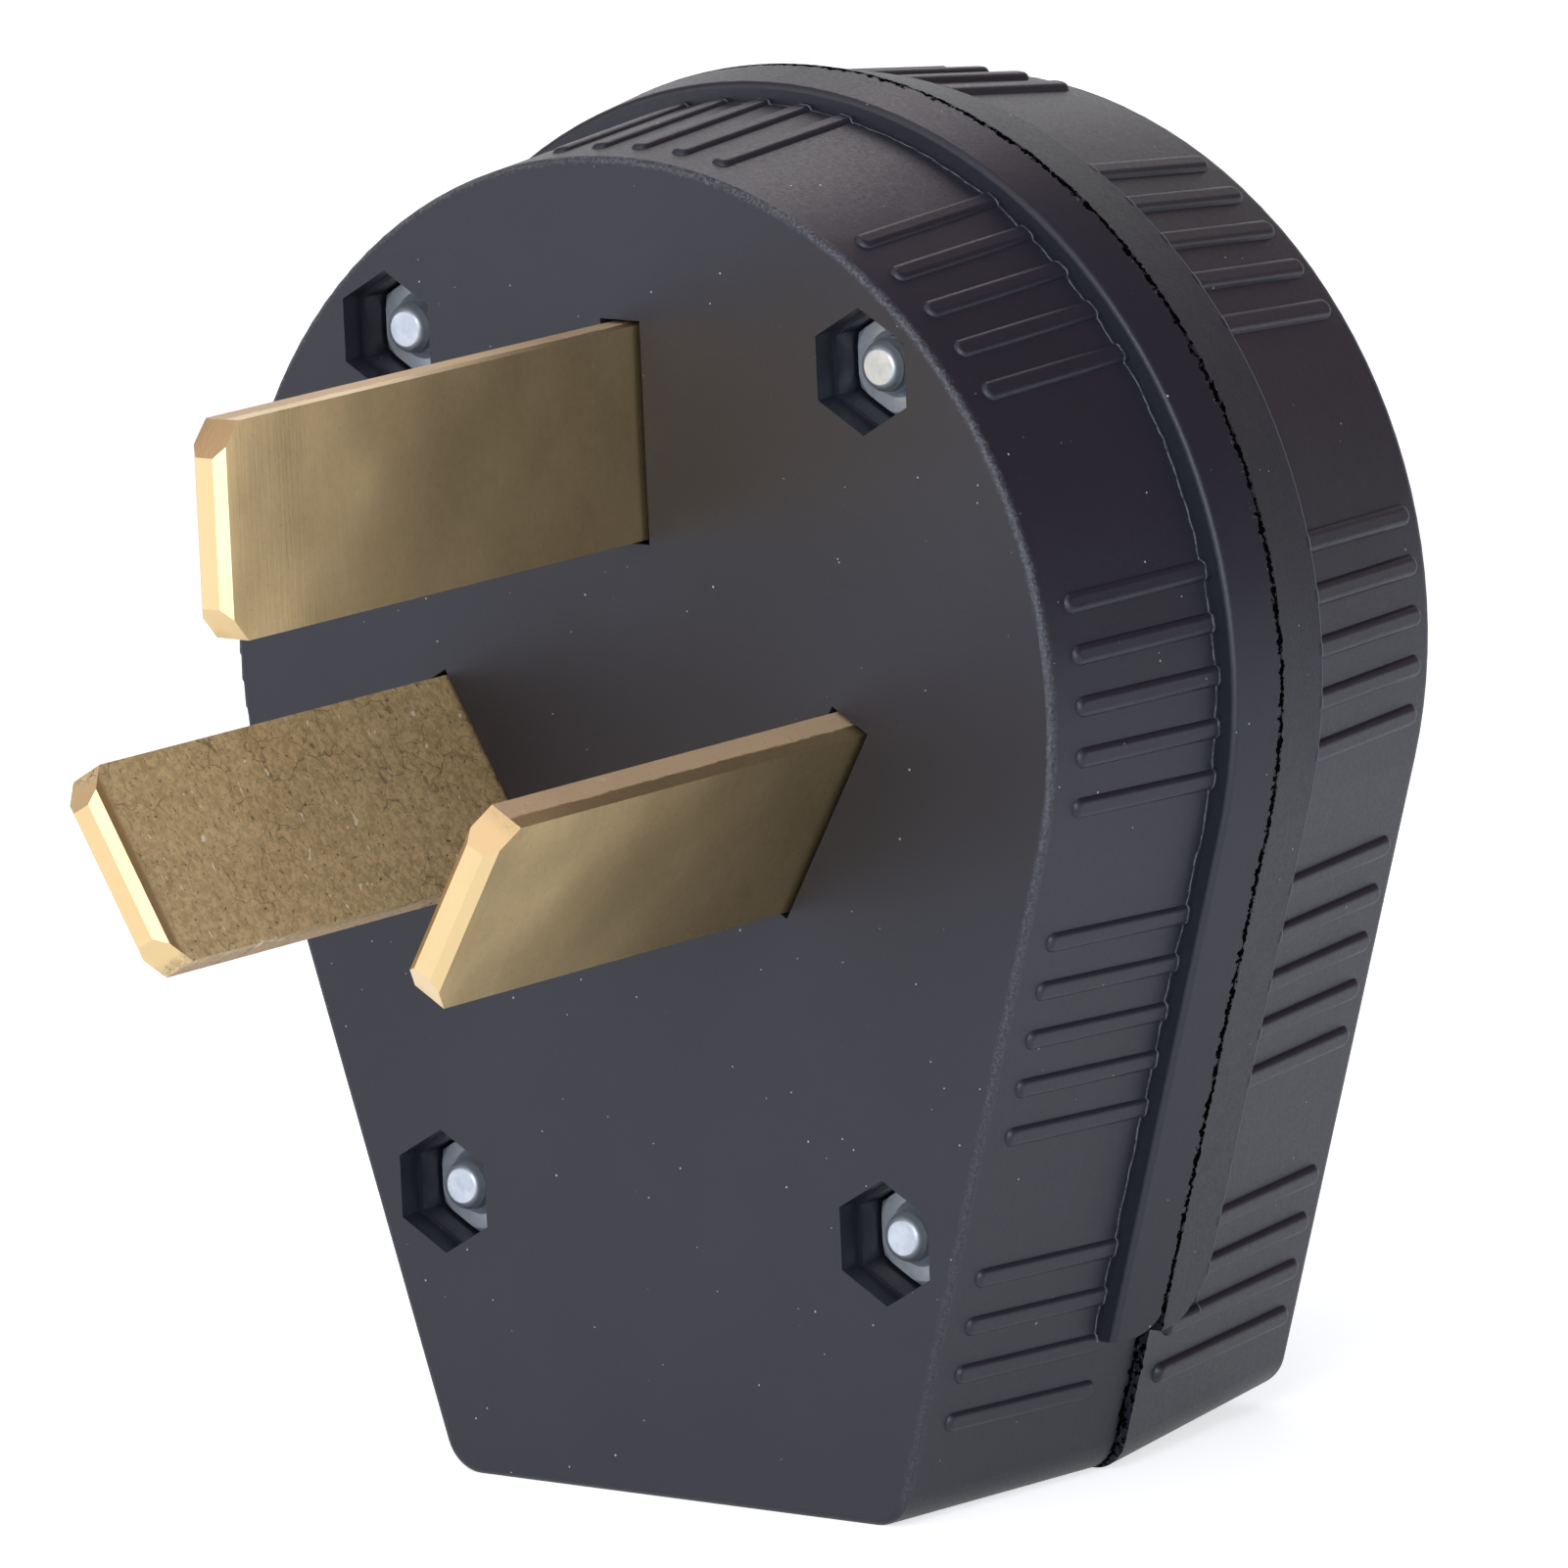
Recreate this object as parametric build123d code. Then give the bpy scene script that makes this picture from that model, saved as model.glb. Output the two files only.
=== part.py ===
from build123d import *
from math import cos, radians, sin, sqrt, tan
import os

# Three-blade industrial plug. Millimetres and degrees.
# The plug stands upright on its base: +Z is up and the blades point along -Y.
# The origin is on the face, at the centre of the three blades. Depths run along +Y from the face.

# Blades: brass strip, bent at the root to a foot that carries the terminal
blade_width = 16.0
blade_thickness = 3.0
top_blade_reach = 47.6
low_blade_reach = 41.7
blade_circle = 18.2
blade_lean = 30.0
blade_bend = 1.5
foot_length = 15.0
tip_corner_long = 2.2
tip_corner_wide = 2.5
tip_bevel = 0.7
slot_gap = 0.35

# Shell outline: a round top, straight sides that lean inwards, and a flat base
face_radius = 38.6
side_lean = 17.1
base_corner = 3.2
wall = 3.0
inner_corner = 1.5

# Front shell
front_depth = 23.2
front_draft = 4.8
face_floor = 4.0
face_edge = 0.5
foot_seat = 10.0
pad_margin = 1.5

# Rear shell
rear_depth = 23.8
rear_draft = 6.8
rear_base_draft = 4.0
rear_step = 0.65
back_floor = 3.0
back_edge = 1.2
web_thickness = 2.0
web_margin = 1.0

# Flange round the parting line: a strip on each shell, ending above the base
flange_step = 1.45
flange_draft = 8.0
front_flange = 5.0
rear_flange = 6.7
rear_flange_step = 0.45
flange_end_gap = 11.1
flange_edge = 0.5
flange_parting_round = 3.0
flange_back_round = 5.0

# Grip ribs: groups that follow the round top and the straight sides
rib_width = 2.2
rib_depth = 1.0
rib_taper_angle = 25.0
rib_round = 0.5
front_rib_height = 0.34
rear_rib_height = 0.5
rib_pitch_angle = 5.6
rib_pitch = 3.9
rib_face_gap = 2.4
rib_back_gap = 1.9
rib_parting_gap = 2.0
rib_group_angles = (90.0, 47.0, 133.0, 0.0, 180.0)
rib_group_count = 5
side_group_starts = (6.6, 33.6)
side_group_counts = (5, 4)

# Shell bolts and their nuts, in pockets of the face
bolt_diameter = 4.0
top_bolt_x = 22.4
top_bolt_z = 24.1
low_bolt_x = 21.0
bolt_end_depth = 2.05
bolt_chamfer = 0.4
bolt_hole_gap = 0.25
thread_gap = 0.05
nut_flats = 7.0
nut_height = 3.2
nut_seat = 7.4
nut_bevel = 0.4
nut_countersink = 0.5
pocket_gap = 0.25
mouth_flats = 8.2
mouth_depth = 2.05
boss_radius = 6.2
head_diameter = 8.0
head_height = 3.1
head_round = 1.2
head_gap = 0.4
head_sink = 4.4
recess_width = 0.9
recess_span = 4.4
recess_depth = 1.5
lock_washer_diameter = 7.6
lock_washer_thickness = 1.0
washer_gap = 0.1
washer_split = 0.6
washer_split_lean = 30.0

# Terminals on the feet of the blades
terminal_diameter = 5.0
terminal_length = 10.0
terminal_head_diameter = 9.0
terminal_head_height = 3.0
terminal_head_round = 0.9
terminal_slot_width = 1.2
terminal_slot_depth = 1.4
terminal_washer_diameter = 8.6
terminal_washer_thickness = 1.2
plate_length = 9.0
plate_width = 12.0
plate_thickness = 2.0
plate_corner = 1.5
plate_groove = 0.6
plate_gap = 0.5
tip_clearance = 0.6

# Cable entry at the base and the strap that grips the cord
entry_radius = 11.0
strap_thickness = 1.5
strap_width = 10.0
strap_drop = 52.5
strap_leg = 7.2
strap_bend = 1.0
strap_ear_round = 3.0
strap_side_gap = 0.95
strap_bolt_gap = 0.4
strap_base_gap = 1.9
strap_screw_inset = 3.8
strap_head_gap = 0.2
strap_boss_radius = 4.6
strap_screw_length = 8.0
insert_diameter = 6.0
insert_length = 8.0
saddle_width = 5.0

# The lower bolts, the base and the flange's ends keep their room above and below the strap
overrun = 1.0
flat_bend = 1e-6
face_overlap = face_floor / 2
back_overlap = back_floor / 2
base_drop = strap_drop + strap_width / 2 + strap_base_gap + wall
low_bolt_z = strap_bolt_gap + strap_width / 2 + boss_radius - strap_drop
flange_end = base_drop - flange_end_gap
strap_seat = front_depth - strap_leg
total_depth = front_depth + rear_depth
lean = radians(side_lean)
head_seat = total_depth - head_sink
washer_seat = head_seat - lock_washer_thickness
foot_top = foot_seat + blade_thickness
plate_top = foot_top + plate_thickness
terminal_head_seat = plate_top + terminal_washer_thickness
web_place = blade_thickness / 2 + blade_bend
plate_start = web_place + web_thickness + plate_gap
terminal_place = plate_start + plate_length / 2
bolt_places = [(-top_bolt_x, top_bolt_z), (top_bolt_x, top_bolt_z)]
bolt_places += [(-low_bolt_x, low_bolt_z), (low_bolt_x, low_bolt_z)]


# Planes and simple solids. A sketch parallel to the face has X and Z as its axes.
def at_depth(depth):
    return Plane.XZ.offset(-depth)


def prism(sketch, start, end):
    return extrude(at_depth(start) * sketch, amount=start - end)


def round_bar(radius, place, start, end):
    return prism(Pos(*place) * Circle(radius), start, end)


def hexagon(flats):
    return RegularPolygon(flats / 2, 6, major_radius=False, rotation=30)


# Half the body's width at a height below the origin, where its sides are straight
def half_width(radius, drop):
    return (radius - drop * sin(lean)) / cos(lean)


# Body outline at one depth
def section(depth, radius, drop, inset):
    size = radius - inset
    low = drop - inset
    half_base = half_width(size, low)
    side_x = size * cos(lean)
    side_z = -size * sin(lean)
    outline = ThreePointArc((-side_x, side_z), (0, size), (side_x, side_z))
    outline += Polyline((side_x, side_z), (half_base, -low), (-half_base, -low), (-side_x, side_z))
    face = make_face(outline)
    corners = face.vertices().sort_by(Axis.Y)[:2]
    return at_depth(depth) * fillet(corners, max(base_corner - inset, inner_corner))


def front_radius(depth):
    return face_radius + depth * tan(radians(front_draft))


def rear_radius(depth):
    return front_radius(front_depth) + rear_step - (depth - front_depth) * tan(radians(rear_draft))


def rear_drop(depth):
    return base_drop - (depth - front_depth) * tan(radians(rear_base_draft))


# Solid between two outlines, with true planes where its walls are flat
def body_between(outlines):
    walls = []
    for face in loft(outlines, ruled=True).faces():
        bend = face.normal_at(0, 0) - face.normal_at(1, 1)
        if face.geom_type == GeomType.BSPLINE and bend.length < flat_bend:
            face = Face(face.outer_wire())
        walls.append(face)
    return Solid(Shell(walls))


def front_body(start, end, inset):
    return body_between([section(depth, front_radius(depth), base_drop, inset) for depth in (start, end)])


def rear_body(start, end, inset):
    return body_between([section(depth, rear_radius(depth), rear_drop(depth), inset) for depth in (start, end)])


# Flange strip between two depths, cut off above the base
def flange(start, start_radius, end, end_radius):
    outlines = [section(start, start_radius, base_drop, 0), section(end, end_radius, base_drop, 0)]
    return split(body_between(outlines), Plane.XY.offset(-flange_end), keep=Keep.TOP)


# Edges of a flange strip's lower ends, the front one first
def flange_ends(strip):
    return strip.faces().sort_by(Axis.Z)[0].edges().filter_by(Axis.X).sort_by(Axis.Y)


# One grip rib on the +X side, between two ends of its crest, with its root sunk in the wall
def grip_rib(start, end):
    line = end - start
    outwards = Vector(line.Y, -line.X, 0).normalized()
    foot = Plane((start + end) / 2 - outwards * rib_depth, x_dir=line.normalized(), z_dir=outwards)
    outline = foot * SlotOverall(line.length, rib_width)
    blank = extrude(outline, amount=rib_depth, taper=rib_taper_angle)
    crest = blank.faces().sort_by(Axis((0, 0, 0), outwards))[-1]
    return fillet(crest.edges(), rib_round)


# A body that is the same left and right, from its right half
def mirrored(body):
    half = split(body, Plane.YZ, keep=Keep.TOP)
    return half + mirror(half, about=Plane.YZ)


def rib_set(rib):
    ribs = []
    for group_angle in rib_group_angles:
        for number in range(rib_group_count):
            angle = group_angle + (number - (rib_group_count - 1) / 2) * rib_pitch_angle
            ribs.append(Rot(0, -angle, 0) * rib)
    for start, count in zip(side_group_starts, side_group_counts):
        for number in range(count):
            drop = start + number * rib_pitch
            ribs.append(Rot(0, side_lean, 0) * Pos(0, 0, -drop) * rib)
            ribs.append(Rot(0, 180 - side_lean, 0) * Pos(0, 0, drop) * rib)
    return ribs


# Frame of one blade: its x axis points along the foot, its y axis along the width, its z axis to the tip
def blade_frame(angle, foot_angle):
    place = (blade_circle * cos(radians(angle)), 0, blade_circle * sin(radians(angle)))
    along = (cos(radians(foot_angle)), 0, sin(radians(foot_angle)))
    return Plane(place, x_dir=along, z_dir=(0, -1, 0))


blade_frames = {
    "top": blade_frame(90, 0),
    "left": blade_frame(210, 180 + blade_lean),
    "right": blade_frame(330, -blade_lean),
}


# Block in a blade's frame, between two depths
def blade_block(x_low, x_high, width, start, end):
    centre = ((x_low + x_high) / 2, 0, -(start + end) / 2)
    return Pos(*centre) * Box(x_high - x_low, width, end - start)


def blade_bar(radius, start, end):
    return Pos(terminal_place, 0, -(start + end) / 2) * Cylinder(radius, end - start)


def blade(reach):
    half = blade_thickness / 2
    bent = make_face(Polyline(
        (-half, reach - tip_bevel), (-half + tip_bevel, reach),
        (half - tip_bevel, reach), (half, reach - tip_bevel),
        (half, -foot_seat), (foot_length, -foot_seat),
        (foot_length, -foot_top), (-half, -foot_top), close=True))
    inner = bent.vertices().sort_by_distance((half, -foot_seat, 0))[0]
    bent = fillet(inner, blade_bend)
    outer = bent.vertices().sort_by_distance((-half, -foot_top, 0))[0]
    bent = fillet(outer, blade_bend + blade_thickness)
    strip = extrude(Plane.XZ * bent, amount=blade_width / 2, both=True)
    half_width = blade_width / 2
    tip = make_face(Polyline(
        (-half_width, -foot_top), (-half_width, reach - tip_corner_long),
        (-half_width + tip_corner_wide, reach), (half_width - tip_corner_wide, reach),
        (half_width, reach - tip_corner_long), (half_width, -foot_top), close=True))
    strip &= extrude(Plane.YZ * tip, amount=foot_length, both=True)
    return strip - blade_bar(terminal_diameter / 2 + thread_gap, foot_seat - overrun, foot_top + overrun)


# Slot through the face, with room for the bend and for the end of the terminal screw
def blade_cut():
    half = blade_thickness / 2 + slot_gap
    width = blade_width + 2 * slot_gap
    cut = blade_block(-half, half, width, -overrun, foot_seat + overrun)
    relief = blade_bend + slot_gap
    wedge = make_face(Polyline((0, -foot_seat - overrun), (half + relief + overrun, -foot_seat - overrun),
                               (0, -foot_seat + half + relief), close=True))
    cut += extrude(Plane.XZ * wedge, amount=width / 2, both=True)
    screw_end = terminal_head_seat - terminal_length - tip_clearance
    return cut + blade_bar(terminal_diameter / 2 + tip_clearance, screw_end, foot_seat + overrun)


def terminal_plate():
    plate = blade_block(plate_start, plate_start + plate_length, plate_width, foot_top, plate_top)
    plate = fillet(plate.edges().filter_by(Axis.Z), plate_corner)
    for side in (-1, 1):
        reach = (terminal_diameter / 2 + plate_width / 2) / 2
        groove = Pos(terminal_place, side * reach, -foot_top) * Rot(0, 90, 0)
        plate -= groove * Cylinder(plate_groove, plate_length + overrun)
    return plate - blade_bar(terminal_diameter / 2 + bolt_hole_gap, foot_top - overrun, plate_top + overrun)


# Screws point towards the face, nuts and washers lie across their axis
def screw(diameter, head, height, rounding, seat, length):
    shank = round_bar(diameter / 2, (0, 0), seat - length, seat)
    shank = chamfer(shank.edges().sort_by(Axis.Y)[0], bolt_chamfer)
    cap = round_bar(head / 2, (0, 0), seat, seat + height)
    cap = fillet(cap.edges().sort_by(Axis.Y)[-1], rounding)
    return shank + cap


def cross_screw(seat, length):
    top = seat + head_height
    cross = Rectangle(recess_width, recess_span) + Rectangle(recess_span, recess_width)
    blank = screw(bolt_diameter, head_diameter, head_height, head_round, seat, length)
    return blank - prism(cross, top - recess_depth, top + overrun)


def slotted_screw(seat, length):
    top = seat + terminal_head_height
    slot = Rectangle(terminal_slot_width, terminal_head_diameter + overrun)
    blank = screw(terminal_diameter, terminal_head_diameter, terminal_head_height,
                  terminal_head_round, seat, length)
    return blank - prism(slot, top - terminal_slot_depth, top + overrun)


def lock_washer(diameter, bore, start, end):
    ring = prism(Circle(diameter / 2) - Circle(bore / 2 + washer_gap), start, end)
    cut = Rot(0, 0, washer_split_lean) * Box(washer_split, end - start + 2 * overrun, diameter)
    return ring - Pos(0, (start + end) / 2, diameter / 2) * cut


def nut():
    outer_face = nut_seat - nut_height
    body = prism(hexagon(nut_flats), outer_face, nut_seat)
    blank = round_bar(nut_flats / sqrt(3), (0, 0), outer_face, nut_seat)
    body &= chamfer(blank.edges(), nut_bevel / 2, nut_bevel)
    body -= round_bar(bolt_diameter / 2 + thread_gap, (0, 0), outer_face - overrun, nut_seat + overrun)
    rims = body.edges().filter_by(GeomType.CIRCLE).sort_by(SortBy.RADIUS)[:2]
    return chamfer(rims, nut_countersink)


def at_places(piece, places):
    return Compound([Pos(x, 0, z) * piece for x, z in places])


# Cord clamp strap: an arch over the cord with two ears, which reach to the walls
strap_room = half_width(front_radius(strap_seat) - wall, strap_drop + strap_width / 2)
strap_ear = strap_room - strap_side_gap
strap_screw_x = strap_ear - strap_screw_inset
strap_arch = strap_screw_x - head_diameter / 2 - strap_head_gap - strap_bend - strap_thickness
strap_places = [(-strap_screw_x, -strap_drop), (strap_screw_x, -strap_drop)]


def corners_at(profile, height):
    level = [corner for corner in profile.vertices() if abs(corner.Y - height) < thread_gap]
    return [corner for corner in level if abs(corner.X) < strap_ear - thread_gap]


def cord_clamp():
    outer = strap_arch + strap_thickness
    ear_top = strap_seat + strap_thickness
    profile = Pos(0, front_depth) * Circle(outer)
    profile += Pos(0, (strap_seat + front_depth) / 2) * Rectangle(2 * outer, front_depth - strap_seat)
    profile += Pos(0, (strap_seat + ear_top) / 2) * Rectangle(2 * strap_ear, strap_thickness)
    profile -= Pos(0, front_depth) * Circle(strap_arch)
    profile -= Pos(0, strap_seat) * Rectangle(2 * strap_arch, 2 * (front_depth - strap_seat))
    profile = fillet(corners_at(profile, ear_top), strap_bend)
    profile = fillet(corners_at(profile, strap_seat), strap_bend + strap_thickness - washer_gap)
    strap = extrude(Plane.XY.offset(-strap_drop) * profile, amount=strap_width / 2, both=True)
    ends = strap.edges().filter_by(Axis.Y).group_by(Axis.X)
    strap = fillet(ends[0] + ends[-1], strap_ear_round)
    for place in strap_places:
        strap -= round_bar(bolt_diameter / 2 + bolt_hole_gap, place, strap_seat - overrun, ear_top + overrun)
    return strap


# Half of the cable entry lies in each shell
entry_cut = Pos(0, front_depth, -base_drop) * Cylinder(entry_radius, 2 * (wall + overrun))

# Front shell
outer_front = front_body(0, front_depth, 0)
outer_front = fillet(outer_front.faces().sort_by(Axis.Y)[0].edges(), face_edge)
flange_front = front_depth - front_flange
flange_radius = front_radius(flange_front) + flange_step
parting_radius = flange_radius + front_flange * tan(radians(flange_draft))
front_strip = flange(flange_front, flange_radius, front_depth, parting_radius)
front_strip = fillet(front_strip.faces().sort_by(Axis.Y)[0].edges().sort_by(Axis.Z)[1:], flange_edge)
front_strip = fillet(flange_ends(front_strip)[-1], flange_parting_round)
front_shell = outer_front + front_strip
rib_end = flange_front + overrun
crest_start = Vector(front_radius(rib_face_gap) + front_rib_height, rib_face_gap, 0)
crest_end = Vector(front_radius(rib_end) + front_rib_height, rib_end, 0)
front_shell = mirrored(front_shell + rib_set(grip_rib(crest_start, crest_end)))
front_shell -= front_body(face_floor, front_depth + overrun, wall)

inner_pieces = [round_bar(boss_radius, place, face_overlap, front_depth) for place in bolt_places]
inner_pieces += [round_bar(strap_boss_radius, place, face_overlap, strap_seat) for place in strap_places]
pad_start = -blade_thickness / 2 - slot_gap - wall
pad = blade_block(pad_start, foot_length + pad_margin, blade_width + 2 * pad_margin, face_overlap, foot_seat)
inner_pieces += [frame * pad for frame in blade_frames.values()]
saddle_end = front_depth - strap_arch / 2
saddle = Pos(0, -strap_drop) * Rectangle(2 * strap_arch, saddle_width)
saddle = prism(saddle, face_overlap, saddle_end)
inner_pieces.append(saddle - Pos(0, front_depth, -strap_drop) * Cylinder(strap_arch, saddle_width + overrun))
front_shell += [piece & outer_front for piece in inner_pieces]

front_cuts = [entry_cut]
for place in bolt_places:
    front_cuts.append(prism(Pos(*place) * hexagon(mouth_flats), -overrun, mouth_depth))
    front_cuts.append(prism(Pos(*place) * hexagon(nut_flats + 2 * pocket_gap), -overrun, nut_seat))
    front_cuts.append(round_bar(bolt_diameter / 2 + bolt_hole_gap, place, 0, front_depth + overrun))
for place in strap_places:
    front_cuts.append(round_bar(insert_diameter / 2, place, strap_seat - insert_length, strap_seat + overrun))
front_cuts += [frame * blade_cut() for frame in blade_frames.values()]
front_shell -= front_cuts

# Rear shell
outer_rear = rear_body(front_depth, total_depth, 0)
outer_rear = fillet(outer_rear.faces().sort_by(Axis.Y)[-1].edges(), back_edge)
flange_back = front_depth + rear_flange
flange_back_radius = rear_radius(flange_back) + rear_flange_step
rear_strip = flange(front_depth, parting_radius, flange_back, flange_back_radius)
rear_strip = fillet(flange_ends(rear_strip)[-1], flange_back_round)
rear_shell = outer_rear + rear_strip
rib_start = front_depth + rib_parting_gap
rib_end = total_depth - rib_back_gap
crest_start = Vector(rear_radius(rib_start) + rear_rib_height, rib_start, 0)
crest_end = Vector(rear_radius(rib_end) + rear_rib_height, rib_end, 0)
rear_shell += rib_set(grip_rib(crest_start, crest_end))
rear_shell -= rear_body(front_depth - overrun, total_depth - back_floor, wall)

inner_pieces = [round_bar(boss_radius, place, front_depth, total_depth) & outer_rear for place in bolt_places]
web = blade_block(web_place, web_place + web_thickness, blade_width - 2 * web_margin, foot_top,
                  total_depth - back_overlap)
inner_pieces += [frame * web for frame in blade_frames.values()]
rear_shell += inner_pieces

rear_cuts = [entry_cut]
for place in bolt_places:
    rear_cuts.append(round_bar(bolt_diameter / 2 + bolt_hole_gap, place, front_depth - overrun, total_depth))
    rear_cuts.append(round_bar(head_diameter / 2 + head_gap, place, washer_seat, total_depth + overrun))
rear_shell -= rear_cuts

# Fasteners
terminal_places = [frame.from_local_coords((terminal_place, 0, 0)) for frame in blade_frames.values()]
terminal_places = [(point.X, point.Z) for point in terminal_places]
terminal_screw = slotted_screw(terminal_head_seat, terminal_length)
terminal_washer = lock_washer(terminal_washer_diameter, terminal_diameter, plate_top, terminal_head_seat)
strap_top = strap_seat + strap_thickness
insert_end = strap_seat - insert_length
insert = round_bar(insert_diameter / 2, (0, 0), insert_end, strap_seat)
insert -= round_bar(bolt_diameter / 2 + thread_gap, (0, 0), insert_end - overrun, strap_seat + overrun)

nodes = {
    "front_shell": front_shell,
    "rear_shell": rear_shell,
    "shell_bolts": at_places(cross_screw(head_seat, head_seat - bolt_end_depth), bolt_places),
    "shell_nuts": at_places(nut(), bolt_places),
    "shell_lock_washers": at_places(lock_washer(lock_washer_diameter, bolt_diameter, washer_seat, head_seat),
                                    bolt_places),
    "terminal_screws": at_places(terminal_screw, terminal_places),
    "terminal_lock_washers": at_places(terminal_washer, terminal_places),
    "cord_clamp": cord_clamp(),
    "cord_clamp_screws": at_places(cross_screw(strap_top, strap_screw_length), strap_places),
    "clamp_inserts": at_places(insert, strap_places),
}
for name, frame in blade_frames.items():
    reach = top_blade_reach if name == "top" else low_blade_reach
    nodes[name + "_blade"] = frame * blade(reach)
    nodes[name + "_terminal_plate"] = frame * terminal_plate()

os.makedirs("parts", exist_ok=True)
for name, shape in nodes.items():
    export_step(shape, f"parts/{name}.step")
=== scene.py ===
import math

import bmesh
import bpy
from mathutils import Matrix, Vector


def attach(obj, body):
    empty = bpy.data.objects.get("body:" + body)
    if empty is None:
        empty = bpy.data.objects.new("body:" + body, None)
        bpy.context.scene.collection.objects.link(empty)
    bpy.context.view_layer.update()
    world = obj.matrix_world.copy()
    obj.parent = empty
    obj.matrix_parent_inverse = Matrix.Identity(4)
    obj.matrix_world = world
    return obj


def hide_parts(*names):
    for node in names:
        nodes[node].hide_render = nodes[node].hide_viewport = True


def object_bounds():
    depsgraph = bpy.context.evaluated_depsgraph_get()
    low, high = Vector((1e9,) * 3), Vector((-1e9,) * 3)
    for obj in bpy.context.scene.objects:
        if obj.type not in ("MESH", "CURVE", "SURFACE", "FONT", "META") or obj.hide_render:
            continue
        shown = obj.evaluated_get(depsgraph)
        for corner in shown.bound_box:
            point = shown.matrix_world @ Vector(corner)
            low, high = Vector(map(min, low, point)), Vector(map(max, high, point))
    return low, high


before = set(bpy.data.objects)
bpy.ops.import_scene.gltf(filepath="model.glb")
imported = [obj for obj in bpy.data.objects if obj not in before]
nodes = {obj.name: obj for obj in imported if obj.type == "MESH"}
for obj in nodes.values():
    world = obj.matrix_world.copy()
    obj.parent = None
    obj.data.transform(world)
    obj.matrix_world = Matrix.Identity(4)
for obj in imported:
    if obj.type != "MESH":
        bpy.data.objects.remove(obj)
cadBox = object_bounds()
scene = bpy.context.scene
mm = 0.001
print("frame loaded:", len(nodes), "nodes")


# Small tools: colour, shader nodes

def hexColor(code):
    # sRGB hex to the linear values that the shaders take
    linear = []
    for place in (1, 3, 5):
        value = int(code[place:place + 2], 16) / 255
        linear.append(value / 12.92 if value <= 0.04045 else ((value + 0.055) / 1.055) ** 2.4)
    return (*linear, 1.0)


def addNode(tree, kind, settings=None, inputs=()):
    # inputs is a list by place or a dictionary by socket name; a node stands for its first output
    node = tree.nodes.new("ShaderNode" + kind)
    for name, value in (settings or {}).items():
        setattr(node, name, value)
    pairs = inputs.items() if isinstance(inputs, dict) else enumerate(inputs)
    for key, value in pairs:
        if isinstance(value, bpy.types.Node):
            value = value.outputs[0]
        if isinstance(value, bpy.types.NodeSocket):
            tree.links.new(value, node.inputs[key])
        else:
            node.inputs[key].default_value = value
    return node


def newMaterial(name):
    material = bpy.data.materials.new(name)
    material.use_nodes = True
    tree = material.node_tree
    tree.nodes.clear()
    return material, tree


def dress(piece, material):
    piece.data.materials.clear()
    piece.data.materials.append(material)


# Camera: fitted to the photograph, in the CAD frame
camera = {
    "place": (0.82003, -1.00175, 0.22926),
    "forward": (-0.61679, 0.76609, -0.18077),
    "up": (-0.07790, 0.16913, 0.98251),
    "lens": 409.2,
    "sensor": 36.0,
}


def makeCamera():
    data = bpy.data.cameras.new("camera")
    data.lens = camera["lens"]
    data.sensor_width = camera["sensor"]
    data.sensor_fit = "HORIZONTAL"
    data.clip_start = 0.05
    data.clip_end = 20
    back = -Vector(camera["forward"]).normalized()
    right = Vector(camera["up"]).cross(back).normalized()
    up = back.cross(right)
    turn = Matrix((right, up, back)).transposed().to_4x4()
    eye = bpy.data.objects.new("camera", data)
    eye.matrix_world = Matrix.Translation(camera["place"]) @ turn
    scene.collection.objects.link(eye)
    scene.camera = eye


makeCamera()
print("camera set")

# Studio: pale floor, white surroundings and five soft lamps
studio = {
    "floorColor": "#f2f2f2",
    "floorSize": 6.0,
    "floorLift": 0.68,       # glow of the floor for the eye, so that only the shadow shows
    "floorShine": 0.48,      # the same for mirrors
    "horizonColor": "#ffffff",
    "ceilingColor": "#86696a",   # seen by mirrors, overhead and behind the right side
    "ceilingStart": 0.06,    # slope where the horizon starts to fade into the ceiling
    "ceilingFull": 0.46,
    "fillColor": "#d5dbee",
    "fillStrength": 0.24,
    "lamps": (
        # name, place, aimed at, size, watts, colour
        ("keyLamp", (-0.70, -1.00, 0.40), (0, 0, -0.01), 1.2, 5.4, "#f0f3ff"),
        ("topLamp", (-0.05, -0.45, 1.15), (0, 0.01, 0), 1.7, 6.5, "#f4f6ff"),
        ("sideLamp", (0.55, -1.00, 0.60), (0.02, 0, -0.01), 0.6, 5.0, "#f0f3ff"),
        ("rimLamp", (-0.40, 0.75, 0.85), (0, 0.01, 0), 0.5, 1.3, "#f6f0f4"),
        ("lowLamp", (0.55, -0.45, 0.02), (0.02, 0.02, -0.05), 0.4, 1.7, "#eaf0ff"),
    ),
}


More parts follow.
